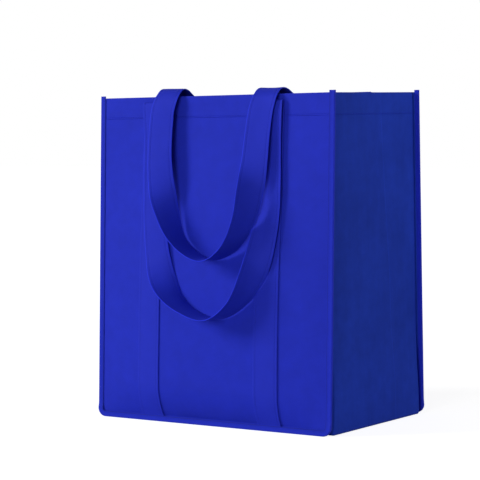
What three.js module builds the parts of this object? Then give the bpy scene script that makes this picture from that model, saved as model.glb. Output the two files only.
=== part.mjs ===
// A reusable carrier bag sewn from blue non-woven fabric. It stands open on its flat base, with both
// handles hanging down its front. Millimetres. X runs along the front, -Y is the front, +Z is up.
// The origin is at the middle of the underside of the base.
import * as THREE from 'three';

// Overall sizes
const bagHeight = 380; // floor to rim
const bagWidth = 322; // front face, over its bound edges
const baseDepth = 216; // front face to back face at the floor
const mouthDepth = 194; // the same at the rim, where the bag draws in

// Fabric and seams
const fabric = 0.6; // thickness of one layer
const clearance = 0.3; // free gap between pieces that lie on each other
const seamFlange = 6.5; // how far the sewn edges stand out from the bag
const hemDepth = 25; // hem turned inwards at the rim
const hemStep = 0.4; // height of the small ramp where the hem's second layer starts
const panelCorner = 10; // round bottom corners of the front and back
const panelBulge = 13.5; // how far the panels swell between their seams
const bulgeEase = 2.5; // how squarely the swell fills the width
const bulgeStart = 8; // height where the panels start to swell
const bulgeRise = 38; // height over which the swell becomes full
const bulgeTop = 120; // height where it starts to fade towards the rim

// Gusset: one strip that makes both sides and the base
const creaseDepth = 6; // how far the centre crease folds the sides in, at the rim
const creaseShift = 28; // the crease lies this far behind the middle
const creaseFoot = 30; // height where the crease has faded out
const gussetCorner = 2.5; // turn from side to base
const sideSwell = 5.8; // how far the sides spread at the base
const sideSwellFoot = 15; // height where that starts to fade
const sideSwellRise = 120; // height over which it fades
const seamCorner = 3.5; // the same turn at the seam
const baseRun = 10; // distance over which the base climbs to its seams
const foldRadius = 1.2; // turn of the gusset into its seam flange

// Binding tape, folded over the seams
const tape = 0.5; // thickness
const bindingLeaf = 7; // width once folded
const bindingTurn = 0.4; // the tape bends this far in from its fold
const bindingProud = 2.5; // how far its ends stand above the rim

// Handles: each is one strap, sewn up both sides of a panel and free between
const strapWidth = 31;
const strapThickness = 1.2;
const strapSpacing = 161; // between the middles of the two sewn runs
const turnRadius = 2; // front handle, where it folds forwards and down
const turnBelowRim = 9; // height of that fold's centre below the rim
const rimTurnRadius = 1.6; // back handle, where it passes over the back rim
const rimTurnDrop = 0.2; // how far below the rim the centre of that turn lies

// Base board, a loose stiffener
const boardThickness = 2.5;
const boardGap = 1; // to where the sides and the base start to curve
const boardCorner = 8;

// Colours
const clothRoughness = 0.85;
const cloth = (color) => new THREE.MeshStandardMaterial({ color, roughness: clothRoughness, metalness: 0 });
const panelCloth = cloth(0x2a36bd);
const tapeCloth = cloth(0x2a35b8);
const strapCloth = cloth(0x2c39c2);
const boardStock = new THREE.MeshStandardMaterial({ color: 0x3b3d42, roughness: 0.6, metalness: 0 });

// Places worked out from the sizes
const rawEdge = bagWidth / 2 - tape - clearance; // cut edge of the panels and of the gusset
const rawFoot = tape + clearance; // cut bottom edge
const seamX = rawEdge - seamFlange; // side walls
const seamZ = rawFoot + seamFlange; // bottom seam
const layerStep = fabric + clearance; // from the middle of one layer to the middle of the next
const strapStep = fabric / 2 + clearance + strapThickness / 2; // panel middle to strap middle
const hemFrom = bagHeight - hemDepth;
const runInner = strapSpacing / 2 - strapWidth / 2; // edges of the sewn runs
const runOuter = strapSpacing / 2 + strapWidth / 2;
const hemHalfWidth = seamX - fabric / 2 - 4 * clearance; // the hem's second layer stops at the sides

const { lerp, clamp, degToRad } = THREE.MathUtils;
const range = (steps, from, to) => Array.from({ length: steps + 1 }, (_, i) => lerp(from, to, i / steps));
const smooth = (t) => THREE.MathUtils.smoothstep(t, 0, 1);

// Half the distance between the seam planes of the front and the back, at a height
const halfDepth = (z) => lerp(baseDepth, mouthDepth, z / bagHeight) / 2;

// How far a panel swells out of its seam plane
function swell(x, z) {
  const across = 1 - Math.min(Math.abs(x) / seamX, 1) ** bulgeEase;
  const rise = 1 - (1 - clamp((z - bulgeStart) / bulgeRise, 0, 1)) ** 2;
  const fade = 1 - smooth((z - bulgeTop) / (bagHeight - bulgeTop));
  return panelBulge * across * rise * fade;
}

// A point of the front panel's middle surface, or at a distance outside it
function onFront(x, z, away = 0) {
  const depthAt = (height) => halfDepth(height) + swell(x, height);
  const slope = depthAt(z + 0.5) - depthAt(z - 0.5);
  const length = Math.hypot(1, slope);
  return new THREE.Vector3(x, -depthAt(z) - away / length, z - (away * slope) / length);
}

// A closed sheet around a grid of points on its middle surface. The two functions say how far each
// of its faces lies from that surface.
function sheet(grid, upper, lower) {
  const rows = grid.length;
  const cols = grid[0].length;
  const between = (a, b) => new THREE.Vector3().subVectors(b, a);
  const positions = [];
  for (const [side, reach] of [[1, upper], [-1, lower]]) {
    for (let i = 0; i < rows; i += 1) {
      for (let j = 0; j < cols; j += 1) {
        const down = between(grid[Math.max(i - 1, 0)][j], grid[Math.min(i + 1, rows - 1)][j]);
        const across = between(grid[i][Math.max(j - 1, 0)], grid[i][Math.min(j + 1, cols - 1)]);
        const normal = down.cross(across).normalize();
        const point = grid[i][j].clone().addScaledVector(normal, side * reach(i, j));
        positions.push(point.x, point.y, point.z);
      }
    }
  }
  const top = (i, j) => i * cols + j;
  const under = (i, j) => rows * cols + i * cols + j;
  const faces = [];
  const quad = (a, b, c, d) => faces.push(a, b, c, a, c, d);
  for (let i = 0; i < rows - 1; i += 1) {
    for (let j = 0; j < cols - 1; j += 1) {
      quad(top(i, j), top(i + 1, j), top(i + 1, j + 1), top(i, j + 1));
      quad(under(i, j), under(i, j + 1), under(i + 1, j + 1), under(i + 1, j));
    }
    quad(top(i, 0), under(i, 0), under(i + 1, 0), top(i + 1, 0));
    quad(top(i, cols - 1), top(i + 1, cols - 1), under(i + 1, cols - 1), under(i, cols - 1));
  }
  for (let j = 0; j < cols - 1; j += 1) {
    quad(top(0, j), top(0, j + 1), under(0, j + 1), under(0, j));
    quad(top(rows - 1, j), under(rows - 1, j), under(rows - 1, j + 1), top(rows - 1, j + 1));
  }
  const geometry = new THREE.BufferGeometry();
  geometry.setAttribute('position', new THREE.Float32BufferAttribute(positions, 3));
  geometry.setIndex(faces);
  return geometry;
}

const evenly = (thickness) => () => thickness / 2;

// Heights of the rows that a panel and the straps sewn on it share
function panelRows() {
  const corner = range(4, 0, Math.PI / 2).map((turn) => rawFoot + panelCorner * (1 - Math.cos(turn)));
  const low = range(5, corner.at(-1) + bulgeRise / 8, bulgeStart + bulgeRise);
  const middle = range(10, low.at(-1), hemFrom - hemStep).slice(1);
  return [...corner, ...low, ...middle, hemFrom, bagHeight];
}

// Front or back panel: swollen between its seams, with a hem turned in at the rim
function panel() {
  const rows = panelRows();
  const outward = [
    runInner / 2, runInner, strapSpacing / 2, runOuter, lerp(runOuter, hemHalfWidth, 0.5)];
  const half = [...outward, hemHalfWidth, hemHalfWidth + hemStep, rawEdge];
  const columns = [...half.map((x) => -x).reverse(), 0, ...half];
  const grid = rows.map((z) => columns.map((x) => {
    const missing = panelCorner - Math.sqrt(panelCorner ** 2 - Math.max(rawFoot + panelCorner - z, 0) ** 2);
    const point = onFront(x, z);
    point.x *= 1 - missing / rawEdge;
    return point;
  }));
  const inHem = (i, j) => rows[i] >= hemFrom && Math.abs(columns[j]) <= hemHalfWidth;
  return sheet(grid, (i, j) => fabric / 2 + (inHem(i, j) ? fabric : 0), evenly(fabric));
}

// A path down one side, round the bottom and up the other side, seen from the front
function roundBottom(x, z, corner, top) {
  const low = z + corner;
  const side = [top, hemFrom, hemFrom - hemStep, ...range(6, hemFrom - hemStep, low).slice(1)];
  const arc = range(4, Math.PI, 1.5 * Math.PI).slice(1);
  const left = [
    ...side.map((height) => new THREE.Vector2(-x, height)),
    ...arc.map((turn) => new THREE.Vector2(
      corner * (1 + Math.cos(turn)) - x, low + corner * Math.sin(turn))),
    ...range(4, corner - x, 0).slice(1).map((along) => new THREE.Vector2(along, z))];
  const right = left.slice(0, -1).reverse().map((point) => new THREE.Vector2(-point.x, point.y));
  return [...left, ...right];
}

// Gusset: both sides and the base in one strip, with edges turned out into the seams
function gusset() {
  const seam = roundBottom(seamX, seamZ, seamCorner, bagHeight);
  const middle = roundBottom(seamX, fabric / 2, gussetCorner, bagHeight);
  const edge = roundBottom(rawEdge, rawFoot, panelCorner, bagHeight);
  // Each station is a place across the strip, from the cut edge in to the crease
  const bend = foldRadius * (1 - Math.SQRT1_2);
  const inwards = [
    { out: seamFlange, back: 0 }, { out: foldRadius, back: 0 }, { out: bend, back: bend },
    { out: 0, back: foldRadius }, { out: 0, back: lerp(foldRadius, baseRun, 0.35) },
    { out: 0, back: lerp(foldRadius, baseRun, 0.7) }, { out: 0, back: baseRun },
    { out: 0, back: baseRun, toCrease: 0.5 }];
  const stations = [
    ...inwards.map((station) => ({ ...station, face: -1 })),
    { out: 0, back: baseRun, toCrease: 1, face: 1 },
    ...inwards.map((station) => ({ ...station, face: 1 })).reverse()];
  const grid = seam.map((_, i) => stations.map(({ out, back, toCrease = 0, face }) => {
    const settled = smooth((back - foldRadius) / (baseRun - foldRadius));
    const wall = seam[i].clone().lerp(middle[i], settled);
    const spread = 1 - smooth((wall.y - sideSwellFoot) / sideSwellRise);
    wall.x *= 1 + (sideSwell / seamX) * spread * settled;
    const place = wall.lerp(edge[i], out / seamFlange);
    const crease = creaseDepth * toCrease * smooth((place.y - creaseFoot) / (bagHeight - creaseFoot));
    const fromSeam = face * (halfDepth(place.y) - layerStep - back);
    const x = place.x - Math.sign(place.x) * crease;
    return new THREE.Vector3(x, lerp(fromSeam, creaseShift, toCrease), place.y);
  }));
  const inHem = (i, j) => seam[i].y >= hemFrom && stations[j].back >= foldRadius;
  return sheet(grid, (i, j) => fabric / 2 + (inHem(i, j) ? fabric : 0), evenly(fabric));
}

// Binding: tape folded over the seam of the front or back panel, down, across and up
function binding() {
  const top = bagHeight + bindingProud;
  const leafX = bagWidth / 2 - bindingLeaf;
  const inner = roundBottom(leafX, bindingLeaf, seamCorner, top);
  const outer = roundBottom(bagWidth / 2 - tape / 2, tape / 2, panelCorner + clearance + tape / 2, top);
  const frontLeaf = -(fabric / 2 + clearance + tape / 2);
  const backLeaf = layerStep - frontLeaf;
  const overStrap = -(strapThickness + clearance); // the strap ends are caught under the bottom leaf
  const strapRise = panelCorner; // height over which the leaf comes back to the panel
  const near = 1 - bindingTurn / bindingLeaf;
  const backStart = (foldRadius + 2 * clearance) / bindingLeaf; // keeps the back leaf off the gusset's fold
  const section = [
    { share: 0, leaf: frontLeaf, lifts: 1 }, { share: near, leaf: frontLeaf, lifts: 1 },
    { share: 1, leaf: frontLeaf + tape, lifts: 1 }, { share: 1, leaf: backLeaf - tape, lifts: 0 },
    { share: near, leaf: backLeaf, lifts: 0 }, { share: backStart, leaf: backLeaf, lifts: 0 }];
  const grid = inner.map((_, i) => section.map(({ share, leaf, lifts }) => {
    const place = inner[i].clone().lerp(outer[i], share);
    const lift = lifts * overStrap * (1 - smooth((inner[i].y - bindingLeaf) / strapRise));
    return new THREE.Vector3(place.x, -halfDepth(place.y) + leaf + lift, place.y);
  }));
  return sheet(grid, evenly(tape), evenly(tape));
}

// The sewn run of a strap, bottom to top, as rows of left edge, middle and right edge. side is -1 left
// or 1 right.
function sewnRun(side, face, topHeight) {
  const rows = [...panelRows().filter((z) => z < topHeight - hemStep), topHeight];
  const place = (x, z) => {
    const point = onFront(x, z, strapStep);
    point.y *= -face;
    return point;
  };
  const across = range(2, -strapWidth / 2, strapWidth / 2).map((x) => (side * strapSpacing) / 2 + x);
  return rows.map((z) => across.map((x) => place(x, z)));
}

// The same rows along a curve through control points. turn is the angle from +X to the strap's width.
function freeRun(controls, steps) {
  const path = new THREE.CatmullRomCurve3(controls.map(([x, y, z]) => new THREE.Vector3(x, y, z)));
  const turns = new THREE.CatmullRomCurve3(controls.map(([, , , turn]) => new THREE.Vector3(turn, 0, 0)));
  return range(steps, 0, 1).map((t) => {
    const centre = path.getPoint(t);
    const turn = degToRad(turns.getPoint(t).x);
    const tangent = path.getTangent(t);
    const width = new THREE.Vector3(Math.cos(turn), Math.sin(turn), 0);
    width.addScaledVector(tangent, -width.dot(tangent)).setLength(strapWidth / 2);
    return [centre.clone().sub(width), centre, centre.clone().add(width)];
  });
}

// A hanging loop's control points, from [share of the strap spacing, how far the strap's rear edge
// hangs in front of the panel, how far below the rim, turn]
const hanging = (points) => points.map(([share, free, drop, turn]) => {
  const x = share * strapSpacing;
  const z = bagHeight - drop;
  const ahead = swell(x, z) + free + (Math.sin(degToRad(turn)) * strapWidth) / 2;
  return [x, -halfDepth(z) - ahead, z, turn];
});

function strap(rows) {
  return sheet(rows, evenly(strapThickness), evenly(strapThickness));
}

// Front handle: sewn up the front, folded forwards just below the rim, hanging close to the panel
function frontHandle() {
  const foldZ = bagHeight - turnBelowRim;
  const foldY = -halfDepth(foldZ) - swell(strapSpacing / 2, foldZ) - strapStep - turnRadius;
  const fold = (side) => range(4, 0, Math.PI).slice(1, -1).map((angle) => [
    (side * strapSpacing) / 2, foldY + turnRadius * Math.cos(angle),
    foldZ + turnRadius * Math.sin(angle), 0]);
  const folded = strapStep + 2 * turnRadius;
  const loop = hanging([
    [-0.5, folded, turnBelowRim, 0], [-0.478, 5.5, 55, 0], [-0.47, 5, 104, 0], [-0.453, 5, 142, 1],
    [-0.41, 4.7, 184, 5], [-0.345, 3, 209, 28], [-0.236, 2.2, 230, 62], [-0.068, 2.9, 247, 80],
    [0.137, 2.8, 254, 82], [0.323, 2.1, 235, 71], [0.441, 2.8, 201, 46], [0.486, 3.4, 160, 12],
    [0.502, 3.8, 130, 3], [0.504, 5.1, 104, 0], [0.496, 5.5, 55, 0],
    [0.5, folded, turnBelowRim, 0]]);
  const path = [...fold(-1), ...loop, ...fold(1).reverse()];
  return strap([
    ...sewnRun(-1, -1, foldZ), ...freeRun(path, 84), ...sewnRun(1, -1, foldZ).reverse()]);
}

// Back handle: sewn up the back, over the back rim, across the mouth and down in front of the other
function backHandle() {
  const turnZ = bagHeight - rimTurnDrop;
  const turnY = halfDepth(bagHeight) + strapStep - rimTurnRadius;
  const ends = { left: -0.371, right: 0.462 };
  const overMouth = (side, frontShare) => {
    const rimX = (side * strapSpacing) / 2;
    const x = (share) => lerp(rimX, frontShare * strapSpacing, share);
    const turn = range(4, 0, Math.PI).slice(1, -1).map((angle) => [
      rimX, turnY + rimTurnRadius * Math.cos(angle), turnZ + rimTurnRadius * Math.sin(angle), 0]);
    const half = mouthDepth / 2;
    const sag = [
      [0.03, half - 12, -6], [0.2, half * 0.52, -17], [0.45, half * 0.05, -20],
      [0.7, -half * 0.42, -13], [0.86, -half * 0.7, -1.5], [0.93, 15 - half, 5],
      [0.97, 7 - half, 6.2], [1, -half, 4.2]];
    return [...turn, ...sag.map(([share, y, rise]) => [x(share), y, bagHeight + rise, 0])];
  };
  const loop = hanging([
    [ends.left, 7, 2, 0], [-0.39, 10.6, 16, 3], [-0.395, 12.1, 34, 5], [-0.387, 14.4, 67, 6],
    [-0.355, 13.1, 101, 18], [-0.292, 6.2, 133, 55], [-0.175, 3.2, 167, 82], [0.066, 2.5, 188, 90],
    [0.254, 5.2, 174.5, 76], [0.386, 10.5, 141, 62], [0.42, 11.4, 106, 42], [0.425, 13.1, 76, 13],
    [0.432, 11.7, 38, 6], [0.445, 10.1, 16, 3], [ends.right, 7, 2, 0]]);
  const path = [...overMouth(-1, ends.left), ...loop, ...overMouth(1, ends.right).reverse()];
  return strap([
    ...sewnRun(-1, 1, turnZ), ...freeRun(path, 128), ...sewnRun(1, 1, turnZ).reverse()]);
}

// Base board: a plain plate with round corners, lying on the base inside
function baseBoard() {
  const x = seamX - gussetCorner - boardGap - boardCorner;
  const y = baseDepth / 2 - layerStep - baseRun - boardGap - boardCorner;
  const outline = new THREE.Shape();
  outline.absarc(x, y, boardCorner, 0, Math.PI / 2);
  outline.absarc(-x, y, boardCorner, Math.PI / 2, Math.PI);
  outline.absarc(-x, -y, boardCorner, Math.PI, 1.5 * Math.PI);
  outline.absarc(x, -y, boardCorner, 1.5 * Math.PI, 2 * Math.PI);
  const geometry = new THREE.ExtrudeGeometry(outline, {
    depth: boardThickness, bevelEnabled: false, curveSegments: 6 });
  return geometry.translate(0, 0, fabric + clearance);
}

const group = new THREE.Group();
function add(name, geometry, material, turn = 0) {
  const mesh = new THREE.Mesh(geometry, material);
  mesh.name = name;
  mesh.rotation.z = turn;
  group.add(mesh);
}

add('front_panel', panel(), panelCloth);
add('back_panel', panel(), panelCloth, Math.PI);
add('gusset', gusset(), panelCloth);
add('front_binding', binding(), tapeCloth);
add('back_binding', binding(), tapeCloth, Math.PI);
add('front_handle', frontHandle(), strapCloth);
add('back_handle', backHandle(), strapCloth);
add('base_board', baseBoard(), boardStock);

export default group;
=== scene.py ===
import math
import bpy
import numpy as np
from mathutils import Matrix, Vector


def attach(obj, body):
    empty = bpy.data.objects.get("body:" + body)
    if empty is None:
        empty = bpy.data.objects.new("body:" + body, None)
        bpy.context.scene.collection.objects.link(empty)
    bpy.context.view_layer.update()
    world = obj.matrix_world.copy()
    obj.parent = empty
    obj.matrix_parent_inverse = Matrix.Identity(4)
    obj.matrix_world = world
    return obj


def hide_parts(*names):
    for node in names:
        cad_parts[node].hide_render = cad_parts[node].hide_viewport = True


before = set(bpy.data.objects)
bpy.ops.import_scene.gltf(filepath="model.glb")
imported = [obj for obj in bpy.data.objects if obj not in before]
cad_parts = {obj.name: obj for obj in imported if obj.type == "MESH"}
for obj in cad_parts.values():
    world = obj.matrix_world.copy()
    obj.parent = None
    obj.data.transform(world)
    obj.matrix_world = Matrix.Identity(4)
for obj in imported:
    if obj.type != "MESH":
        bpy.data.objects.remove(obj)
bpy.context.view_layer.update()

scene = bpy.context.scene
scene.view_settings.view_transform = "Standard"

# Lengths are in millimetres up to the point where a mesh is made
mm = 0.001

# The bag as it was cut and sewn. These follow the CAD part.
bag = {
    "height": 380.0, "width": 322.0, "baseDepth": 216.0, "mouthDepth": 194.0,
    "cloth": 0.6, "gap": 0.3, "flange": 6.5, "hem": 25.0, "corner": 10.0,
    "tape": 0.5, "strapWidth": 31.0, "strapThick": 1.2, "strapSpacing": 161.0,
}
stitchIn = {"hem": 23.5, "strap": 3.4, "tape": 2.2}  # from an edge to its line of stitches
rawEdge = bag["width"] / 2 - bag["tape"] - bag["gap"]
rawFoot = bag["tape"] + bag["gap"]
seamX = rawEdge - bag["flange"]
seamZ = rawFoot + bag["flange"]
layerStep = bag["cloth"] + bag["gap"]
strapStep = bag["cloth"] / 2 + bag["gap"] + bag["strapThick"] / 2
hemFrom = bag["height"] - bag["hem"]
hemStitch = bag["height"] - stitchIn["hem"]


def smooth(t):
    t = np.clip(t, 0.0, 1.0)
    return t * t * (3 - 2 * t)


def mix(a, b, t):
    return a + (b - a) * t


def quarterRound(t):
    return np.sqrt(1 - (1 - np.clip(t, 0, 1)) ** 2)


def lengthAlong(points):
    return np.concatenate([[0], np.cumsum(np.linalg.norm(np.diff(points, axis=0), axis=1))])


# Each point's place on the cloth laid flat
def flatMap(across, along):
    return np.stack(np.broadcast_arrays(across[None, :], along[:, None]), -1)


# Soft unevenness of cloth, a sum of a few long waves with fixed places
ripples = {"count": 7, "shortest": 0.6, "longest": 1.7}  # lengths as shares of the wavelength asked for


def waves(u, v, seed, wavelength):
    random = np.random.default_rng(seed)
    total = np.zeros(np.broadcast(u, v).shape)
    for _ in range(ripples["count"]):
        turn, phase = random.uniform(0, math.tau, 2)
        length = wavelength * random.uniform(ripples["shortest"], ripples["longest"])
        total += np.sin((u * math.cos(turn) + v * math.sin(turn)) * math.tau / length + phase)
    return total / ripples["count"] ** 0.5


def halfDepth(z):
    return mix(bag["baseDepth"], bag["mouthDepth"], z / bag["height"]) / 2


# How the front and back swell out between their seams, and how uneven they are
swelling = {
    "out": 13.5, "ease": 2.5, "start": 8.0, "rise": 38.0, "top": 120.0,
    "unevenFront": 0.45, "unevenBack": 0.9, "seedFront": 11, "seedBack": 23,
    "unevenEase": 4, "unevenRise": 60, "wavelength": 150,
}


def swell(x, z):
    s = swelling
    across = 1 - np.minimum(np.abs(x) / seamX, 1) ** s["ease"]
    rise = 1 - (1 - np.clip((z - s["start"]) / s["rise"], 0, 1)) ** 2
    fade = 1 - smooth((z - s["top"]) / (bag["height"] - s["top"]))
    return s["out"] * across * rise * fade


def uneven(x, z, back):
    s = swelling
    across = 1 - np.minimum(np.abs(x) / seamX, 1) ** s["unevenEase"]
    free = across * smooth((z - s["start"]) / s["unevenRise"])
    seed, size = (s["seedBack"], s["unevenBack"]) if back else (s["seedFront"], s["unevenFront"])
    return size * free * waves(x, z, seed, s["wavelength"])


# A point on the middle of the front panel's cloth, or at a distance outside it. For the back panel the
# same is done and then turned half round.
def onPanel(x, z, away, back):
    x, z, away = np.broadcast_arrays(np.asarray(x, float), np.asarray(z, float), np.asarray(away, float))

    def depth(h):
        return halfDepth(h) + swell(x, h) + uneven(x, h, back)

    slope = depth(z + 0.5) - depth(z - 0.5)  # over one millimetre
    length = np.hypot(1, slope)
    points = np.stack([x, -depth(z) - away / length, z - away * slope / length], -1)
    return points * (-1, -1, 1) if back else points


# The rim isn't level: the photograph shows it low at the front left and high at the back right.
# "above" is the share of the height past which the lift grows no more.
rim = {"frontLeft": -2.9, "frontRight": 0.0, "backLeft": -0.8, "backRight": 2.4, "above": 1.02}


def settle(points):
    across = np.clip(points[..., 0] / bag["width"] + 0.5, 0, 1)
    deep = np.clip(points[..., 1] / bag["mouthDepth"] + 0.5, 0, 1)
    front = mix(rim["frontLeft"], rim["frontRight"], across)
    rear = mix(rim["backLeft"], rim["backRight"], across)
    height = np.clip(points[..., 2] / bag["height"], 0, rim["above"])
    moved = points.copy()
    moved[..., 2] += mix(front, rear, deep) * height ** 2
    return moved


def gridNormals(grid):
    down = np.gradient(grid, axis=0)
    across = np.gradient(grid, axis=1)
    normal = np.cross(down, across)
    return normal / np.maximum(np.linalg.norm(normal, axis=-1, keepdims=True), 1e-9)


def newObject(name, points, faces, material, uv, sharpAngle):
    mesh = bpy.data.meshes.new(name)
    mesh.from_pydata((points * mm).tolist(), [], faces)
    mesh.validate()
    corners = np.zeros(len(mesh.loops), np.int32)
    mesh.loops.foreach_get("vertex_index", corners)
    layer = mesh.uv_layers.new(name="cloth")
    layer.uv.foreach_set("vector", (uv[corners] * mm).astype(np.float32).ravel())
    mesh.materials.append(material)
    mesh.shade_smooth()
    mesh.set_sharp_from_angle(angle=math.radians(sharpAngle))
    made = bpy.data.objects.new(name, mesh)
    scene.collection.objects.link(made)
    return made


# A closed sheet around a grid of points. over and under are the distances from the grid to its faces.
def clothSheet(name, grid, over, under, material, uv, sharpAngle=38):
    rows, columns = grid.shape[:2]
    normal = gridNormals(grid)
    over, under = (np.broadcast_to(away, (rows, columns))[..., None] for away in (over, under))
    points = np.concatenate([(grid + normal * over).reshape(-1, 3), (grid - normal * under).reshape(-1, 3)])
    a = np.arange(rows * columns).reshape(rows, columns)
    b = a + rows * columns

    def quads(*corners):
        return np.stack([c.ravel() for c in corners], -1)

    faces = np.concatenate([
        quads(a[:-1, :-1], a[1:, :-1], a[1:, 1:], a[:-1, 1:]),
        quads(b[:-1, :-1], b[:-1, 1:], b[1:, 1:], b[1:, :-1]),
        quads(a[:-1, 0], b[:-1, 0], b[1:, 0], a[1:, 0]),
        quads(a[:-1, -1], a[1:, -1], b[1:, -1], b[:-1, -1]),
        quads(a[0, :-1], a[0, 1:], b[0, 1:], b[0, :-1]),
        quads(a[-1, :-1], b[-1, :-1], b[-1, 1:], a[-1, 1:]),
    ])
    bothFaces = np.concatenate([uv.reshape(-1, 2)] * 2)
    return newObject(name, points, faces.tolist(), material, bothFaces, sharpAngle)


def spaced(*stops):
    # each stop is (value, the largest step up to it)
    values = [stops[0][0]]
    for value, step in stops[1:]:
        count = max(1, math.ceil(abs(value - values[-1]) / step - 1e-6))
        values += np.linspace(values[-1], value, count + 1)[1:].tolist()
    return np.array(values)


# Camera
shot = {
    "place": (1.2597, -1.9534, 0.3406), "lens": 147.0, "sensor": 36.0, "clip": (0.05, 50),
    "azimuth": 33.4, "elevation": 3.27, "roll": -0.36, "shift": (-0.0016, 0.0012),
}


def makeCamera():
    data = bpy.data.cameras.new("camera")
    data.lens, data.sensor_width = shot["lens"], shot["sensor"]
    data.shift_x, data.shift_y = shot["shift"]
    data.clip_start, data.clip_end = shot["clip"]
    camera = bpy.data.objects.new("camera", data)
    scene.collection.objects.link(camera)
    around, above, roll = (math.radians(shot[k]) for k in ("azimuth", "elevation", "roll"))
    back = Vector((math.sin(around) * math.cos(above), -math.cos(around) * math.cos(above), math.sin(above)))
    right = Vector((math.cos(around), math.sin(around), 0))
    up = back.cross(right)
    right, up = right * math.cos(roll) + up * math.sin(roll), up * math.cos(roll) - right * math.sin(roll)
    turned = Matrix((right, up, back)).transposed().to_4x4()
    camera.matrix_world = Matrix.Translation(shot["place"]) @ turned
    scene.camera = camera


makeCamera()
print("camera in place")


# Small helpers for shader nodes
def shaderGroup(name, inputs, outputs):
    tree = bpy.data.node_groups.new(name, "ShaderNodeTree")
    for label, kind, value in inputs:
        socket = tree.interface.new_socket(name=label, in_out="INPUT", socket_type=kind)
        if value is not None:
            socket.default_value = value
    for label, kind in outputs:
        tree.interface.new_socket(name=label, in_out="OUTPUT", socket_type=kind)
    return tree, tree.nodes.new("NodeGroupInput"), tree.nodes.new("NodeGroupOutput")


def usingGroup(tree, group, **values):
    node = tree.nodes.new("ShaderNodeGroup")
    node.node_tree = group
    for label, value in values.items():
        socket = node.inputs[label]
        if isinstance(value, bpy.types.NodeSocket):
            tree.links.new(value, socket)
        else:
            socket.default_value = value
    return node


def maths(tree, operation, a, b=None, clamp=False):
    node = tree.nodes.new("ShaderNodeMath")
    node.operation, node.use_clamp = operation, clamp
    for socket, value in zip(node.inputs, (a, b)):
        if value is None:
            continue
        if isinstance(value, (int, float)):
            socket.default_value = value
        else:
            tree.links.new(value, socket)
    return node.outputs[0]


def stepBetween(tree, value, low, high, toLow, toHigh):
    node = tree.nodes.new("ShaderNodeMapRange")
    node.interpolation_type = "SMOOTHSTEP"
    tree.links.new(value, node.inputs["Value"])
    for label, number in (("From Min", low), ("From Max", high), ("To Min", toLow), ("To Max", toHigh)):
        node.inputs[label].default_value = number
    return node.outputs["Result"]


def noise(tree, place, scale, detail, rough):
    node = tree.nodes.new("ShaderNodeTexNoise")
    tree.links.new(place, node.inputs["Vector"])
    node.inputs["Scale"].default_value = scale
    node.inputs["Detail"].default_value = detail
    node.inputs["Roughness"].default_value = rough
    return node.outputs["Fac"]


def scaled(tree, place, turn, size):
    node = tree.nodes.new("ShaderNodeMapping")
    tree.links.new(place, node.inputs["Vector"])
    node.inputs["Rotation"].default_value = (0, 0, turn)
    node.inputs["Scale"].default_value = size
    return node.outputs["Vector"]


def brightened(tree, colour, amount):
    # colour times a number that varies over the surface
    node = tree.nodes.new("ShaderNodeVectorMath")
    node.operation = "SCALE"
    tree.links.new(colour, node.inputs[0])
    tree.links.new(amount, node.inputs["Scale"])
    return node.outputs["Vector"]


def bumped(tree, height, strength, distance, under=None):
    node = tree.nodes.new("ShaderNodeBump")
    node.inputs["Strength"].default_value = strength
    node.inputs["Distance"].default_value = distance
    tree.links.new(height, node.inputs["Height"])
    if under is not None:
        tree.links.new(under, node.inputs["Normal"])
    return node.outputs["Normal"]


def newMaterial(name):
    material = bpy.data.materials.new(name)
    material.use_nodes = True
    tree = material.node_tree
    return material, tree, tree.nodes["Principled BSDF"]


# In the looks below a noise is (scale, detail, roughness), a shape stretches a pattern along X, Y and Z,
# and "colour" is linear red, green and blue
dye = (0.02, 0.035, 0.5, 1)
noiseMiddle = 0.5
webLook = {
    "dotsPerMetre": 640.0, "dotTurn": 45, "dotShape": (1, 0.8, 1), "dotEdge": (0.2, 0.34),
    "dotShade": -0.06, "dotRough": -0.16, "clouds": (55, 5, 0.6), "fibres": (2600, 2, 0.5),
    "alongTurn": 0.35, "alongShape": (1, 0.16, 1), "acrossTurn": -0.7, "acrossShape": (0.16, 1, 1),
    "fibreMiddle": 0.58, "fibreRough": 0.14, "fibreHeight": 0.7, "rough": 0.72, "bright": 1.01,
}


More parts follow.
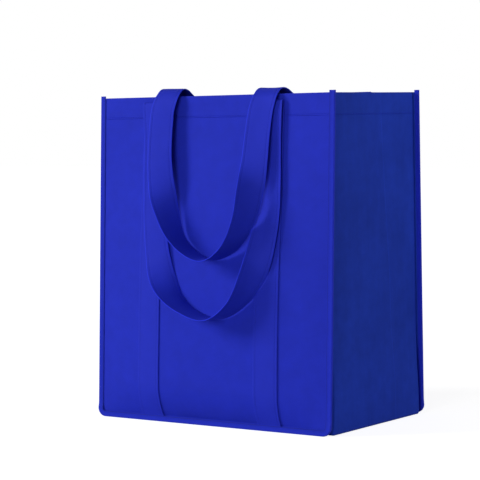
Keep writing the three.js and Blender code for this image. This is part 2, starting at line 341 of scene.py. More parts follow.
# Non-woven cloth: a cloudy web of fibres, pressed together in a grid of small dots
def makeSpunBond():
    look = webLook
    tree, given, result = shaderGroup("spunBond", [
        ("Place", "NodeSocketVector", None), ("Colour", "NodeSocketColor", dye),
        ("Dots per Metre", "NodeSocketFloat", look["dotsPerMetre"]), ("Clouds", "NodeSocketFloat", 0.1),
        ("Fibres", "NodeSocketFloat", 0.12)],
        [("Colour", "NodeSocketColor"), ("Roughness", "NodeSocketFloat"), ("Height", "NodeSocketFloat")])
    place = given.outputs["Place"]
    grid = tree.nodes.new("ShaderNodeTexVoronoi")
    grid.voronoi_dimensions = "2D"
    slanted = scaled(tree, place, math.radians(look["dotTurn"]), look["dotShape"])
    tree.links.new(slanted, grid.inputs["Vector"])
    tree.links.new(given.outputs["Dots per Metre"], grid.inputs["Scale"])
    grid.inputs["Randomness"].default_value = 0.0
    dot = stepBetween(tree, grid.outputs["Distance"], *look["dotEdge"], 1.0, 0.0)
    clouds = noise(tree, place, *look["clouds"])
    along = noise(tree, scaled(tree, place, look["alongTurn"], look["alongShape"]), *look["fibres"])
    across = noise(tree, scaled(tree, place, look["acrossTurn"], look["acrossShape"]), *look["fibres"])
    fibre = maths(tree, "MAXIMUM", along, across)
    cloud = maths(tree, "SUBTRACT", clouds, noiseMiddle)
    cloudy = maths(tree, "MULTIPLY", cloud, given.outputs["Clouds"])
    hairy = maths(tree, "SUBTRACT", fibre, look["fibreMiddle"])
    web = maths(tree, "MULTIPLY", hairy, given.outputs["Fibres"])
    pressed = maths(tree, "MULTIPLY", dot, look["dotShade"])
    shade = maths(tree, "ADD", maths(tree, "ADD", cloudy, web), pressed)
    total = maths(tree, "ADD", shade, look["bright"])
    tree.links.new(brightened(tree, given.outputs["Colour"], total), result.inputs["Colour"])
    fibreRough = maths(tree, "MULTIPLY", fibre, look["fibreRough"])
    rough = maths(tree, "ADD", fibreRough, maths(tree, "MULTIPLY", dot, look["dotRough"]))
    tree.links.new(maths(tree, "ADD", rough, look["rough"], True), result.inputs["Roughness"])
    height = maths(tree, "SUBTRACT", maths(tree, "MULTIPLY", fibre, look["fibreHeight"]), dot)
    tree.links.new(height, result.inputs["Height"])
    return tree


wearAndShadeLook = {
    "patches": (7, 2, 0.5), "folds": (13, 2, 0.4), "foldEdge": (0.0, 0.035),
    "streaks": (70, 3, 0.6), "streakShape": (1, 1, 0.12),
    "waves": (17, 2, 0.4), "waveShape": (1, 1, 0.4), "waveHeight": 7.0,
}


# Handling marks and painted shade: slow paler and darker patches and upright streaks, partly painted shade of
# soft wrinkles, and faint soft creases, on Object coordinates
def makeHandledAndShaded():
    look = wearAndShadeLook
    tree, given, result = shaderGroup("handledAndShaded", [
        ("Place", "NodeSocketVector", None), ("Colour", "NodeSocketColor", dye),
        ("Patches", "NodeSocketFloat", 0.08), ("Streaks", "NodeSocketFloat", 0.05)],
        [("Colour", "NodeSocketColor"), ("Height", "NodeSocketFloat")])
    place = given.outputs["Place"]
    slow = noise(tree, place, *look["patches"])
    wrinkles = noise(tree, place, *look["folds"])
    fold = maths(tree, "ABSOLUTE", maths(tree, "SUBTRACT", wrinkles, noiseMiddle))
    line = stepBetween(tree, fold, *look["foldEdge"], 1.0, 0.0)
    # patches and upright streaks: partly handling marks and partly painted shade of soft wrinkles
    patch = maths(tree, "MULTIPLY", maths(tree, "SUBTRACT", slow, noiseMiddle), given.outputs["Patches"])
    upright = noise(tree, scaled(tree, place, 0.0, look["streakShape"]), *look["streaks"])
    streak = maths(tree, "MULTIPLY", maths(tree, "SUBTRACT", upright, noiseMiddle), given.outputs["Streaks"])
    total = maths(tree, "ADD", maths(tree, "ADD", patch, streak), 1.0)
    tree.links.new(brightened(tree, given.outputs["Colour"], total), result.inputs["Colour"])
    billow = noise(tree, scaled(tree, place, 0.0, look["waveShape"]), *look["waves"])
    wave = maths(tree, "MULTIPLY", billow, look["waveHeight"])
    tree.links.new(maths(tree, "ADD", line, wave), result.inputs["Height"])
    return tree


spunBond = makeSpunBond()
handledAndShaded = makeHandledAndShaded()

# What each cloth looks like. Each mark is (axis of the cloth, place in mm, half width in mm, change, the
# attribute that limits it, if any): a stitched line is darker with painted shade of its groove, a folded
# edge is paler with a painted highlight, the tape's inner edge is darker with painted shade, and the gusset's
# crease is paler.
creaseMark = 136.7  # the gusset's crease, from its front edge
foldHighlightMark = 0.2  # painted highlight along the straps' folded edges
clothLooks = {
    "panelCloth": {
        "colour": (0.012, 0.025, 0.49), "shine": 0.15, "clouds": 0.3, "fibres": 0.26,
        "patches": 0.18, "streaks": 0.06, "bump": 0.35,
        # a darker line of painted shade in the hem's stitch groove
        "marks": [("Y", hemStitch, 1.1, -0.08)],
    },
    # the gusset's cloth: the panels' cloth tinted greener as painted light of the side, with strong patches
    # and streaks that are partly painted shade of soft wrinkles
    "shadeTintedSideCloth": {
        "colour": (0.017, 0.05, 0.48), "shine": 0.04, "clouds": 0.4, "fibres": 0.28,
        "patches": 0.55, "streaks": 0.26, "bump": 0.4,
        "marks": [("X", creaseMark, 1.3, 0.16)],
    },
    "strapCloth": {
        "colour": (0.012, 0.025, 0.5), "shine": 0.18, "clouds": 0.18, "fibres": 0.22,
        "patches": 0.12, "streaks": 0.05, "bump": 0.3,
        # darker lines of painted shade in the straps' stitch grooves
        "marks": [("X", stitchIn["strap"], 0.9, -0.1),
                  ("X", bag["strapWidth"] - stitchIn["strap"], 0.9, -0.1),
                  # painted highlight along both folded edges, on the hanging part only
                  ("X", foldHighlightMark, 0.95, 0.5, "hanging"),
                  ("X", bag["strapWidth"] - foldHighlightMark, 0.95, 0.5, "hanging")],
    },
    "tapeCloth": {
        "colour": (0.012, 0.026, 0.5), "shine": 0.15, "clouds": 0.15, "fibres": 0.2,
        "patches": 0.1, "streaks": 0.04, "bump": 0.25,
        # a darker line of painted shade at the tape's inner edge, a darker stitched line with painted shade
        # of its groove, and a paler painted highlight along the folded outer edge
        "marks": [("X", 0.5, 1.0, -0.35), ("X", stitchIn["tape"], 0.7, -0.1), ("X", 7.3, 1.1, 0.35)],
    },
}
bumpLook = {"softStrength": 0.12, "softDistance": 0.0006, "fineDistance": 0.00012}


def clothMaterial(name):
    look = clothLooks[name]
    material, tree, shader = newMaterial(name)
    colour = (*look["colour"], 1)
    material.diffuse_color = colour
    surface = tree.nodes.new("ShaderNodeUVMap")
    surface.uv_map = "cloth"
    solid = tree.nodes.new("ShaderNodeTexCoord")
    wearAndShade = usingGroup(tree, handledAndShaded, Place=solid.outputs["Object"], Colour=colour,
                      Patches=look["patches"], Streaks=look["streaks"])
    web = usingGroup(tree, spunBond, Place=surface.outputs["UV"], Colour=wearAndShade.outputs["Colour"],
                     Clouds=look["clouds"], Fibres=look["fibres"])
    marked = web.outputs["Colour"]
    split = tree.nodes.new("ShaderNodeSeparateXYZ")
    tree.links.new(surface.outputs["UV"], split.inputs[0])
    for axis, at, width, change, *where in look["marks"]:
        away = maths(tree, "ABSOLUTE", maths(tree, "SUBTRACT", split.outputs[axis], at * mm))
        amount = stepBetween(tree, away, 0.0, width * mm, change, 0.0)
        if where:
            part = tree.nodes.new("ShaderNodeAttribute")
            part.attribute_name = where[0]
            amount = maths(tree, "MULTIPLY", amount, part.outputs["Fac"])
        marked = brightened(tree, marked, maths(tree, "ADD", amount, 1.0))
    tree.links.new(marked, shader.inputs["Base Color"])
    tree.links.new(web.outputs["Roughness"], shader.inputs["Roughness"])
    shader.inputs["Specular IOR Level"].default_value = look["shine"]
    soft = bumped(tree, wearAndShade.outputs["Height"], bumpLook["softStrength"], bumpLook["softDistance"])
    fine = bumped(tree, web.outputs["Height"], look["bump"], bumpLook["fineDistance"], soft)
    tree.links.new(fine, shader.inputs["Normal"])
    return material


threadLook = {
    "colour": (0.011, 0.022, 0.46), "twist": (900, 2, 0.55), "twistEdge": (0.3, 0.7),
    "shades": (0.8, 1.2), "rough": 0.6, "shine": 0.08,
}


def threadMaterial():
    look = threadLook
    material, tree, shader = newMaterial("thread")
    solid = tree.nodes.new("ShaderNodeTexCoord")
    twist = noise(tree, solid.outputs["Object"], *look["twist"])
    colour = tree.nodes.new("ShaderNodeRGB")
    colour.outputs[0].default_value = (*look["colour"], 1)
    shade = stepBetween(tree, twist, *look["twistEdge"], *look["shades"])
    tree.links.new(brightened(tree, colour.outputs[0], shade), shader.inputs["Base Color"])
    shader.inputs["Roughness"].default_value = look["rough"]
    shader.inputs["Specular IOR Level"].default_value = look["shine"]
    return material


boardLook = {
    "colour": (0.045, 0.05, 0.06), "grain": (700, 3, 0.55), "bump": 0.3, "bumpDistance": 0.0002,
    "scuffs": (160, 4, 0.55), "scuffTurn": 0.3, "scuffShape": (1, 0.05, 1),
    "paleEdge": (0.35, 0.75), "shades": (0.85, 1.3), "smoothEdge": (0.3, 0.7), "roughness": (0.62, 0.45),
}


def boardMaterial():
    look = boardLook
    material, tree, shader = newMaterial("boardStock")
    solid = tree.nodes.new("ShaderNodeTexCoord")
    place = solid.outputs["Object"]
    colour = tree.nodes.new("ShaderNodeRGB")
    colour.outputs[0].default_value = (*look["colour"], 1)
    scuff = noise(tree, scaled(tree, place, look["scuffTurn"], look["scuffShape"]), *look["scuffs"])
    shade = stepBetween(tree, scuff, *look["paleEdge"], *look["shades"])
    tree.links.new(brightened(tree, colour.outputs[0], shade), shader.inputs["Base Color"])
    rough = stepBetween(tree, scuff, *look["smoothEdge"], *look["roughness"])
    tree.links.new(rough, shader.inputs["Roughness"])
    grain = bumped(tree, noise(tree, place, *look["grain"]), look["bump"], look["bumpDistance"])
    tree.links.new(grain, shader.inputs["Normal"])
    return material


panelCloth, shadeTintedSideCloth, strapCloth, tapeCloth = (clothMaterial(name) for name in clothLooks)
thread = threadMaterial()
boardStock = boardMaterial()
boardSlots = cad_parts["base_board"].data.materials
for number in range(len(boardSlots)):
    boardSlots[number] = boardStock
print("materials made")


# Panels. The hem is a second layer inside, and "step" is the width of its edge.
hem = {
    "groove": 0.14, "innerGroove": 0.5, "grooveWidth": 0.8, "step": 0.4, "gapsToSeam": 4,
    "rimRound": 0.6, "rimThin": 0.35,
}
panel = {
    "cornerStep": 0.9, "footTop": 60, "footStep": 2.5, "wallStep": 3.2,
    "strapZone": (60, 100), "acrossStep": 3, "strapStep": 2.6, "flangeStep": 1.4, "mapFrom": 200,
}
# the steps between rows near the rim, where "stitch" holds within "nearStitch" of the stitch line
rimRows = {"nearStitch": 1.8, "edge": 0.2, "hem": 2, "stitch": 0.45, "upper": 2.6, "rim": 0.3}


def hemGroove(z):
    return hem["groove"] * np.exp(-((z - hemStitch) / hem["grooveWidth"]) ** 2)


def hemLayer(z):
    return smooth((z - hemFrom + hem["step"]) / hem["step"])


# How far the inner and outer face of a panel or side lie from the middle of its cloth
def hemmedFaces(z, folded, stitched):
    rounding = hem["rimThin"] + (1 - hem["rimThin"]) * quarterRound((bag["height"] - z) / hem["rimRound"])
    thick = bag["cloth"] / 2
    groove = hemGroove(z) * stitched
    inside = (thick + bag["cloth"] * folded) * rounding - groove * hem["innerGroove"]
    return inside, thick * rounding - groove


def makePanel(name, back):
    p, r = panel, rimRows
    top = bag["height"]
    hemHalf = seamX - bag["cloth"] / 2 - hem["gapsToSeam"] * bag["gap"]
    z = spaced((rawFoot,), (rawFoot + bag["corner"], p["cornerStep"]), (p["footTop"], p["footStep"]),
               (hemFrom - hem["step"], p["wallStep"]), (hemFrom, r["edge"]),
               (hemStitch - r["nearStitch"], r["hem"]), (hemStitch + r["nearStitch"], r["stitch"]),
               (top - hem["rimRound"], r["upper"]), (top, r["rim"]))
    half = spaced((0,), (p["strapZone"][0], p["acrossStep"]), (p["strapZone"][1], p["strapStep"]),
                  (hemHalf, p["acrossStep"]), (hemHalf + hem["step"], r["edge"]), (rawEdge, p["flangeStep"]))
    x = np.concatenate([-half[:0:-1], half])
    zz, xx = np.meshgrid(z, x, indexing="ij")
    below = np.maximum(rawFoot + bag["corner"] - zz, 0)
    missing = bag["corner"] - np.sqrt(np.maximum(bag["corner"] ** 2 - below ** 2, 0))
    grid = onPanel(xx, zz, 0.0, back)
    grid[..., 0] *= 1 - missing / rawEdge
    grid = settle(grid)
    folded = hemLayer(zz) * smooth((hemHalf + hem["step"] - np.abs(xx)) / hem["step"])
    inside, outside = hemmedFaces(zz, folded, 1)
    return clothSheet(name, grid, inside, outside, panelCloth, np.stack([xx + p["mapFrom"], zz], -1))


frontPanel = makePanel("frontPanel", False)
backPanel = makePanel("backPanel", True)
print("panels made")


# Gusset: one strip down the left side, under the base and up the right side
gusset = {
    "corner": 2.5, "seamCorner": 3.5, "run": 10.0, "fold": 1.2, "floorSteps": 50,
    "swell": 5.8, "swellFoot": 15.0, "swellRise": 120.0,
    "creaseDepth": 6.0, "creaseBehind": 28.0, "creaseFarthest": 41, "creaseDrift": 0.07,
    "creaseFoot": 30.0, "creaseFrom": 355, "creaseRound": 1.15,
    "uneven": 0.5, "unevenFoot": 25, "unevenRise": 60, "unevenSeam": 4, "unevenCrease": 0.04,
    "seed": 31, "wavelength": 120, "otherSide": 37,
    # places on the seam allowance, steps from the seam, and shares of the way to the crease
    "flangePlaces": (4.5, 2.5), "runStep": 1.5, "sideShare": 0.94, "sideSteps": 22,
    "creaseShares": (0.97, 0.985), "mapRow": 40,
}
pathSteps = {"side": 110, "corner": 10}


# A path down one side, round the bottom and up the other, seen from the front
def roundPath(x, z, corner, heights, floorSteps):
    low = z + corner
    side = np.concatenate([heights, np.linspace(heights[-1], low, pathSteps["side"])[1:]])
    turn = np.linspace(math.pi, 1.5 * math.pi, pathSteps["corner"] + 1)[1:]
    left = np.concatenate([
        np.stack([np.full(len(side), -x), side], -1),
        np.stack([corner * (1 + np.cos(turn)) - x, low + corner * np.sin(turn)], -1),
        np.stack([np.linspace(corner - x, 0, floorSteps + 1)[1:], np.full(floorSteps, z)], -1)])
    return np.concatenate([left, left[-2::-1] * (-1, 1)])


# Across the strip, from the front edge to the crease: distance out on the seam allowance, distance behind
# the seam, and share of the way to the crease
def gussetStations():
    g = gusset
    bend = g["fold"] * (1 - math.sqrt(0.5))
    stations = [(out, 0, 0) for out in (bag["flange"], *g["flangePlaces"], g["fold"])]
    stations += [(bend, bend, 0)]
    stations += [(0, behind, 0) for behind in spaced((g["fold"],), (g["run"], g["runStep"]))]
    stations += [(0, g["run"], share) for share in np.linspace(0, g["sideShare"], g["sideSteps"])[1:]]
    return stations + [(0, g["run"], share) for share in g["creaseShares"]]


def makeGusset():
    g, r = gusset, rimRows
    top = bag["height"]
    heights = spaced((top,), (top - hem["rimRound"], r["rim"]), (hemStitch + r["nearStitch"], r["upper"]),
                     (hemStitch - r["nearStitch"], r["stitch"]), (hemFrom, r["hem"]),
                     (hemFrom - hem["step"], r["edge"]))
    seam, middle, edge = (roundPath(x, z, corner, heights, g["floorSteps"]) for x, z, corner in (
        (seamX, seamZ, g["seamCorner"]), (seamX, bag["cloth"] / 2, g["corner"]),
        (rawEdge, rawFoot, bag["corner"])))
    half = gussetStations()
    stations = [(*station, -1) for station in half] + [(0, g["run"], 1, 1)]
    stations += [(*station, 1) for station in half[::-1]]
    out, rear, fold, face = (np.array(v, float)[None, :] for v in zip(*stations))
    settled = smooth((rear - g["fold"]) / (g["run"] - g["fold"]))[..., None]
    place = mix(seam[:, None], middle[:, None], settled)
    spread = 1 - smooth((place[..., 1] - g["swellFoot"]) / g["swellRise"])
    place[..., 0] *= 1 + g["swell"] / seamX * spread * settled[..., 0]
    place = mix(place, edge[:, None], (out / bag["flange"])[..., None])
    px, pz = place[..., 0], place[..., 1]
    above = smooth((pz - g["creaseFoot"]) / (top - g["creaseFoot"]))
    shape = np.where(fold < g["creaseShares"][0], fold ** g["creaseRound"], fold)
    crease = g["creaseDepth"] * shape * above
    fromSeam = face * (halfDepth(pz) - layerStep - rear)
    drift = g["creaseBehind"] + g["creaseDrift"] * (g["creaseFrom"] - pz)
    y = mix(fromSeam, np.clip(drift, g["creaseBehind"], g["creaseFarthest"]), fold)
    fromCrease = 1 - np.exp(-((1 - fold) / g["unevenCrease"]) ** 2)
    fromFoot = smooth((pz - g["unevenFoot"]) / g["unevenRise"])
    free = smooth(np.minimum(fold * g["unevenSeam"], 1)) * fromCrease * fromFoot
    wave = g["uneven"] * free * waves(y, pz + np.sign(px) * g["otherSide"], g["seed"], g["wavelength"])
    x = px - np.sign(px) * (crease + wave)
    grid = settle(np.stack([x, y, pz], -1))
    behindSeam = rear >= g["fold"]
    inside, outside = hemmedFaces(pz, hemLayer(pz) * behindSeam, behindSeam)
    uv = flatMap(lengthAlong(grid[g["mapRow"]]), lengthAlong(middle))
    return clothSheet("gussetCloth", grid, inside, outside, shadeTintedSideCloth, uv), grid


gussetCloth, gussetGrid = makeGusset()
print("gusset made")


# Binding tape folded over the seams
binding = {
    "leaf": 7.0, "turn": 0.4, "proud": 2.5, "seamCorner": 3.5, "groove": 0.1, "grooveWidth": 0.5,
    "pucker": 0.13, "puckerPitch": 3.7, "puckerEase": 0.7, "puckerSink": 0.05, "seed": 41,
    # shares of the leaf, from its free edge to the turn
    "shares": [0, 0.05, 0.16, 0.24, 0.31, 0.38, 0.46, 0.62, 0.8], "edgeShare": 0.01, "edgeThin": 0.5,
    "turnSteps": 7, "topStep": 2.2, "floorSteps": 80, "mapRow": 200,
}


# Across the tape: share of the leaf, place from front to back, share of the lift over the straps, and
# whether it is the rear leaf
def tapeSection(near, frontLeaf, backLeaf):
    b = binding
    half = (backLeaf - frontLeaf) / 2
    backStart = (gusset["fold"] + 2 * bag["gap"]) / b["leaf"]
    backShares = [share for share in b["shares"][::-1] if share > backStart + b["edgeShare"]]
    section = [(share, frontLeaf, 1, 0) for share in (*b["shares"], near)]
    for t in np.linspace(0, math.pi, b["turnSteps"])[1:-1]:
        share = near + (1 - near) * math.sin(t)
        section += [(share, frontLeaf + half - half * math.cos(t), 0.5 + 0.5 * math.cos(t), 0)]
    return section + [(share, backLeaf, 0, 1)
                      for share in (near, *backShares, backStart + b["edgeShare"], backStart)]


def makeBinding(name, back):
    b = binding
    tape = bag["tape"]
    heights = spaced((bag["height"] + b["proud"],), (hemFrom, b["topStep"]))
    inner = roundPath(bag["width"] / 2 - b["leaf"], b["leaf"], b["seamCorner"], heights, b["floorSteps"])
    outer = roundPath(bag["width"] / 2 - tape / 2, tape / 2, bag["corner"] + bag["gap"] + tape / 2,
                      heights, b["floorSteps"])
    frontLeaf = -(bag["cloth"] / 2 + bag["gap"] + tape / 2)
    near = 1 - b["turn"] / b["leaf"]
    section = tapeSection(near, frontLeaf, layerStep - frontLeaf)
    share, leaf, lifts, behind = (np.array(v, float)[None, :] for v in zip(*section))
    place = mix(inner[:, None], outer[:, None], share[..., None])
    px, pz = place[..., 0], place[..., 1]
    overStraps = 1 - smooth((inner[:, None, 1] - b["leaf"]) / bag["corner"])
    lift = -lifts * (bag["strapThick"] + bag["gap"]) * overStraps
    along = lengthAlong(inner)
    places = np.arange(0, along[-1] + b["puckerPitch"], b["puckerPitch"])
    puckers = np.random.default_rng(b["seed"] + back).uniform(-1, 1, len(places))
    pucker = np.interp(along, places, puckers)[:, None]
    loose = np.clip(1 - share / near, 0, 1) ** b["puckerEase"] * b["pucker"] * pucker * (1 - behind)
    y = -halfDepth(pz) + leaf + lift + loose - b["puckerSink"] * (loose > 0)
    grid = np.stack(np.broadcast_arrays(px, y, pz), -1)
    if back:
        grid = grid * (-1, -1, 1)
    grid = settle(grid)
    thin = np.ones(share.shape)
    thin[0, 0] = thin[0, -1] = b["edgeThin"]
    thick = tape / 2 * thin
    dent = b["groove"] * np.exp(-((share * b["leaf"] - stitchIn["tape"]) / b["grooveWidth"]) ** 2)
    uv = flatMap(lengthAlong(grid[b["mapRow"]]), along)
    # the rows run down, across and up, so the grid's normal points into the fold
    made = clothSheet(name, grid, thick, thick - dent * (1 - behind), tapeCloth, uv)
    return made, grid


frontBinding, frontTapeGrid = makeBinding("frontBinding", False)
backBinding, backTapeGrid = makeBinding("backBinding", True)
print("bindings made")


# Handles: one long strap each, sewn up a panel on both sides and free between
def centripetal(points, t):
    # the same curve as the CAD part's, through every point; t runs from 0 to 1
    points = np.asarray(points, float)
    at = np.clip(t, 0, 1) * (len(points) - 1)
    i = np.minimum(at.astype(int), len(points) - 2)
    w = (at - i)[:, None]
    padded = np.concatenate([[2 * points[0] - points[1]], points, [2 * points[-1] - points[-2]]])
    p0, p1, p2, p3 = (padded[i + k] for k in range(4))
    d0, d1, d2 = (np.sqrt(np.linalg.norm(b - a, axis=1))[:, None] for a, b in ((p0, p1), (p1, p2), (p2, p3)))
    d1 = np.where(d1 < 1e-4, 1.0, d1)
    d0 = np.where(d0 < 1e-4, d1, d0)
    d2 = np.where(d2 < 1e-4, d1, d2)
    m1 = ((p1 - p0) / d0 - (p2 - p0) / (d0 + d1) + (p2 - p1) / d1) * d1
    m2 = ((p2 - p1) / d1 - (p3 - p1) / (d1 + d2) + (p3 - p2) / d2) * d1
    return p1 + m1 * w + (-3 * p1 + 3 * p2 - 2 * m1 - m2) * w ** 2 + (2 * p1 - 2 * p2 + m1 + m2) * w ** 3


strap = {
    "turnRadius": 2.0, "turnBelowRim": 9.0, "rimRadius": 1.6, "rimDrop": 0.2, "turnSteps": 5,
    "crown": 0.35, "crownStart": 15, "crownRun": 60, "flutter": 0.35, "flutterWave": 70, "flutterAcross": 2,
    "seed": 51, "groove": 0.16, "grooveWidth": 0.5, "roundFrom": 0.12, "roundWidth": 0.9, "settleRun": 50,
    "footLift": 0.02, "footTop": 60, "footStep": 3, "wallStep": 3.4, "topRun": 12, "topStep": 1.6,
    "frontSteps": 300, "backSteps": 420, "sharpAngle": 50,
    # shares of the width, from an edge to the middle
    "shares": [0, 0.006, 0.02, 0.045, 0.075, 0.095, 0.11, 0.125, 0.15, 0.2, 0.28, 0.36, 0.43],
    # share of the strap spacing, how far the rear edge hangs in front of the panel, how far below the rim,
    # turn in degrees
    "frontLoop": [
        (-0.478, 5.5, 55, 0), (-0.47, 5, 104, 0), (-0.453, 5, 142, 1), (-0.41, 4.7, 184, 5),
        (-0.345, 3, 209, 28), (-0.236, 2.2, 230, 62), (-0.068, 2.9, 247, 80), (0.137, 2.8, 254, 82),
        (0.323, 2.1, 235, 71), (0.441, 2.8, 201, 46), (0.486, 3.4, 160, 12), (0.502, 3.8, 130, 3),
        (0.504, 5.1, 104, 0), (0.496, 5.5, 55, 0)],
    "backLoop": [
        (-0.371, 7, 2, 0), (-0.39, 10.6, 16, 3), (-0.395, 12.1, 34, 5), (-0.387, 14.4, 67, 6),
        (-0.355, 13.1, 101, 18), (-0.292, 6.2, 133, 55), (-0.175, 3.2, 167, 82), (0.066, 2.5, 188, 90),
        (0.254, 5.2, 174.5, 76), (0.386, 10.5, 141, 62), (0.42, 11.4, 106, 42), (0.425, 13.1, 76, 13),
        (0.432, 11.7, 38, 6), (0.445, 10.1, 16, 3), (0.462, 7, 2, 0)],
    # over the mouth: share of the way, place from front to back, rise above the rim
    "overMouth": [
        (0.03, 85, -6), (0.2, 50.44, -17), (0.45, 4.85, -20), (0.7, -40.74, -13),
        (0.86, -67.9, -1.5), (0.93, -82, 5), (0.97, -90, 6.2), (1, -97, 4.2)],
}
strapShares = np.array([*strap["shares"], 0.5, *(1 - share for share in strap["shares"][::-1])])


def hanging(points):
    placed = []
    for share, free, drop, turn in points:
        x, z = share * bag["strapSpacing"], bag["height"] - drop
        ahead = float(swell(x, z)) + free + math.sin(math.radians(turn)) * bag["strapWidth"] / 2
        placed.append((x, -halfDepth(z) - ahead, z, turn))
    return placed


def halfTurn(radius, y, z):
    # points along a half turn over the top, without its two ends
    angles = np.linspace(0, math.pi, strap["turnSteps"])[1:-1]
    return [(y + radius * math.cos(a), z + radius * math.sin(a)) for a in angles]


def frontLoop():
    s = strap
    foldZ = bag["height"] - s["turnBelowRim"]
    x = bag["strapSpacing"] / 2
    foldY = -halfDepth(foldZ) - float(swell(x, foldZ)) - strapStep - s["turnRadius"]
    fold = halfTurn(s["turnRadius"], foldY, foldZ)
    last = hanging([(-0.5, strapStep + 2 * s["turnRadius"], s["turnBelowRim"], 0)])[0][1:3]
    left = [(-x, y, z, 0) for y, z in [*fold, last]]
    right = [(x, y, z, 0) for y, z in [last, *fold[::-1]]]
    return left + hanging(s["frontLoop"]) + right, foldZ


def backLoop():
    s = strap
    turnZ = bag["height"] - s["rimDrop"]
    turnY = halfDepth(bag["height"]) + strapStep - s["rimRadius"]

    def over(side, end):
        rimX = side * bag["strapSpacing"] / 2
        turn = [(rimX, y, z, 0) for y, z in halfTurn(s["rimRadius"], turnY, turnZ)]
        return turn + [(mix(rimX, end * bag["strapSpacing"], share), y, bag["height"] + rise, 0)
                       for share, y, rise in s["overMouth"]]

    leftEnd, rightEnd = s["backLoop"][0][0], s["backLoop"][-1][0]
    return over(-1, leftEnd) + hanging(s["backLoop"]) + over(1, rightEnd)[::-1], turnZ


def makeHandle(name, back):
    s = strap
    controls, top = backLoop() if back else frontLoop()
    controls = np.array(controls, float)
    width, share = bag["strapWidth"], strapShares
    rows = spaced((rawFoot + s["footLift"],), (s["footTop"], s["footStep"]),
                  (top - s["topRun"], s["wallStep"]), (top, s["topStep"]))
    z = rows[:, None]

    def sewn(side):
        x = side * bag["strapSpacing"] / 2 + (share - 0.5)[None, :] * width
        return settle(onPanel(-x if back else x, z, strapStep, back))

    t = np.linspace(0, 1, s["backSteps"] if back else s["frontSteps"])
    centre = centripetal(controls[:, :3], t)
    turn = np.radians(centripetal(controls[:, 3:] * (1, 0, 0), t)[:, 0])
    tangent = np.gradient(centre, axis=0)
    tangent /= np.linalg.norm(tangent, axis=1, keepdims=True)
    wide = np.stack([np.cos(turn), np.sin(turn), 0 * turn], -1)
    wide -= (wide * tangent).sum(1, keepdims=True) * tangent
    wide /= np.linalg.norm(wide, axis=1, keepdims=True)
    normal = np.cross(tangent, wide)
    run = lengthAlong(centre)
    fromEnd = np.minimum(run, run[-1] - run)
    loose = smooth((fromEnd - s["crownStart"]) / s["crownRun"])
    crown = s["crown"] * np.sin(math.pi * share)[None, :] * loose[:, None]
    across = share[None, :] * width * s["flutterAcross"]
    ripple = waves(run[:, None], across, s["seed"] + back, s["flutterWave"])
    flutter = s["flutter"] * loose[:, None] * ripple
    free = centre[:, None] + wide[:, None] * ((share - 0.5) * width)[None, :, None]
    free = free + normal[:, None] * (crown + flutter)[..., None]
    free = mix(settle(free), free, smooth(fromEnd / s["settleRun"])[:, None, None])
    grid = np.concatenate([sewn(-1), free, sewn(1)[::-1]])
    along = lengthAlong(grid[:, len(share) // 2])
    inset = np.minimum(share, 1 - share) * width
    thick = bag["strapThick"] / 2 * quarterRound((inset + s["roundFrom"]) / s["roundWidth"])
    thick = thick - s["groove"] * np.exp(-((inset - stitchIn["strap"]) / s["grooveWidth"]) ** 2)
    uv = flatMap(share * width, along)
    made = clothSheet(name, grid, thick, thick, strapCloth, uv, s["sharpAngle"])
    # the hanging share limits the painted highlight on the folded edges to the free part of a strap
    hangs = np.tile(np.concatenate([0 * rows, loose, 0 * rows]).repeat(len(share)), 2)
    attribute = made.data.attributes.new("hanging", "FLOAT", "POINT")
    attribute.data.foreach_set("value", hangs.astype(np.float32))
    return made, grid, slice(len(rows), len(rows) + len(t)), along[-1]


frontHandle, frontStrapGrid, frontFree, frontStrapLength = makeHandle("frontHandle", False)
backHandle, backStrapGrid, backFree, backStrapLength = makeHandle("backHandle", True)
print("handles made", round(frontStrapLength), round(backStrapLength))


# Stitches
stitching = {
    "hem": {"pitch": 3.4, "length": 2.9, "thread": 0.5, "seed": 3},
    "strap": {"pitch": 3.2, "length": 2.7, "thread": 0.5, "seed": 5},
    "tape": {"pitch": 3.6, "length": 3.0, "thread": 0.45, "seed": 8},
}
stitchShape = {"wander": 0.06, "segments": 6, "rings": 5}  # each stitch turns a little, in radians


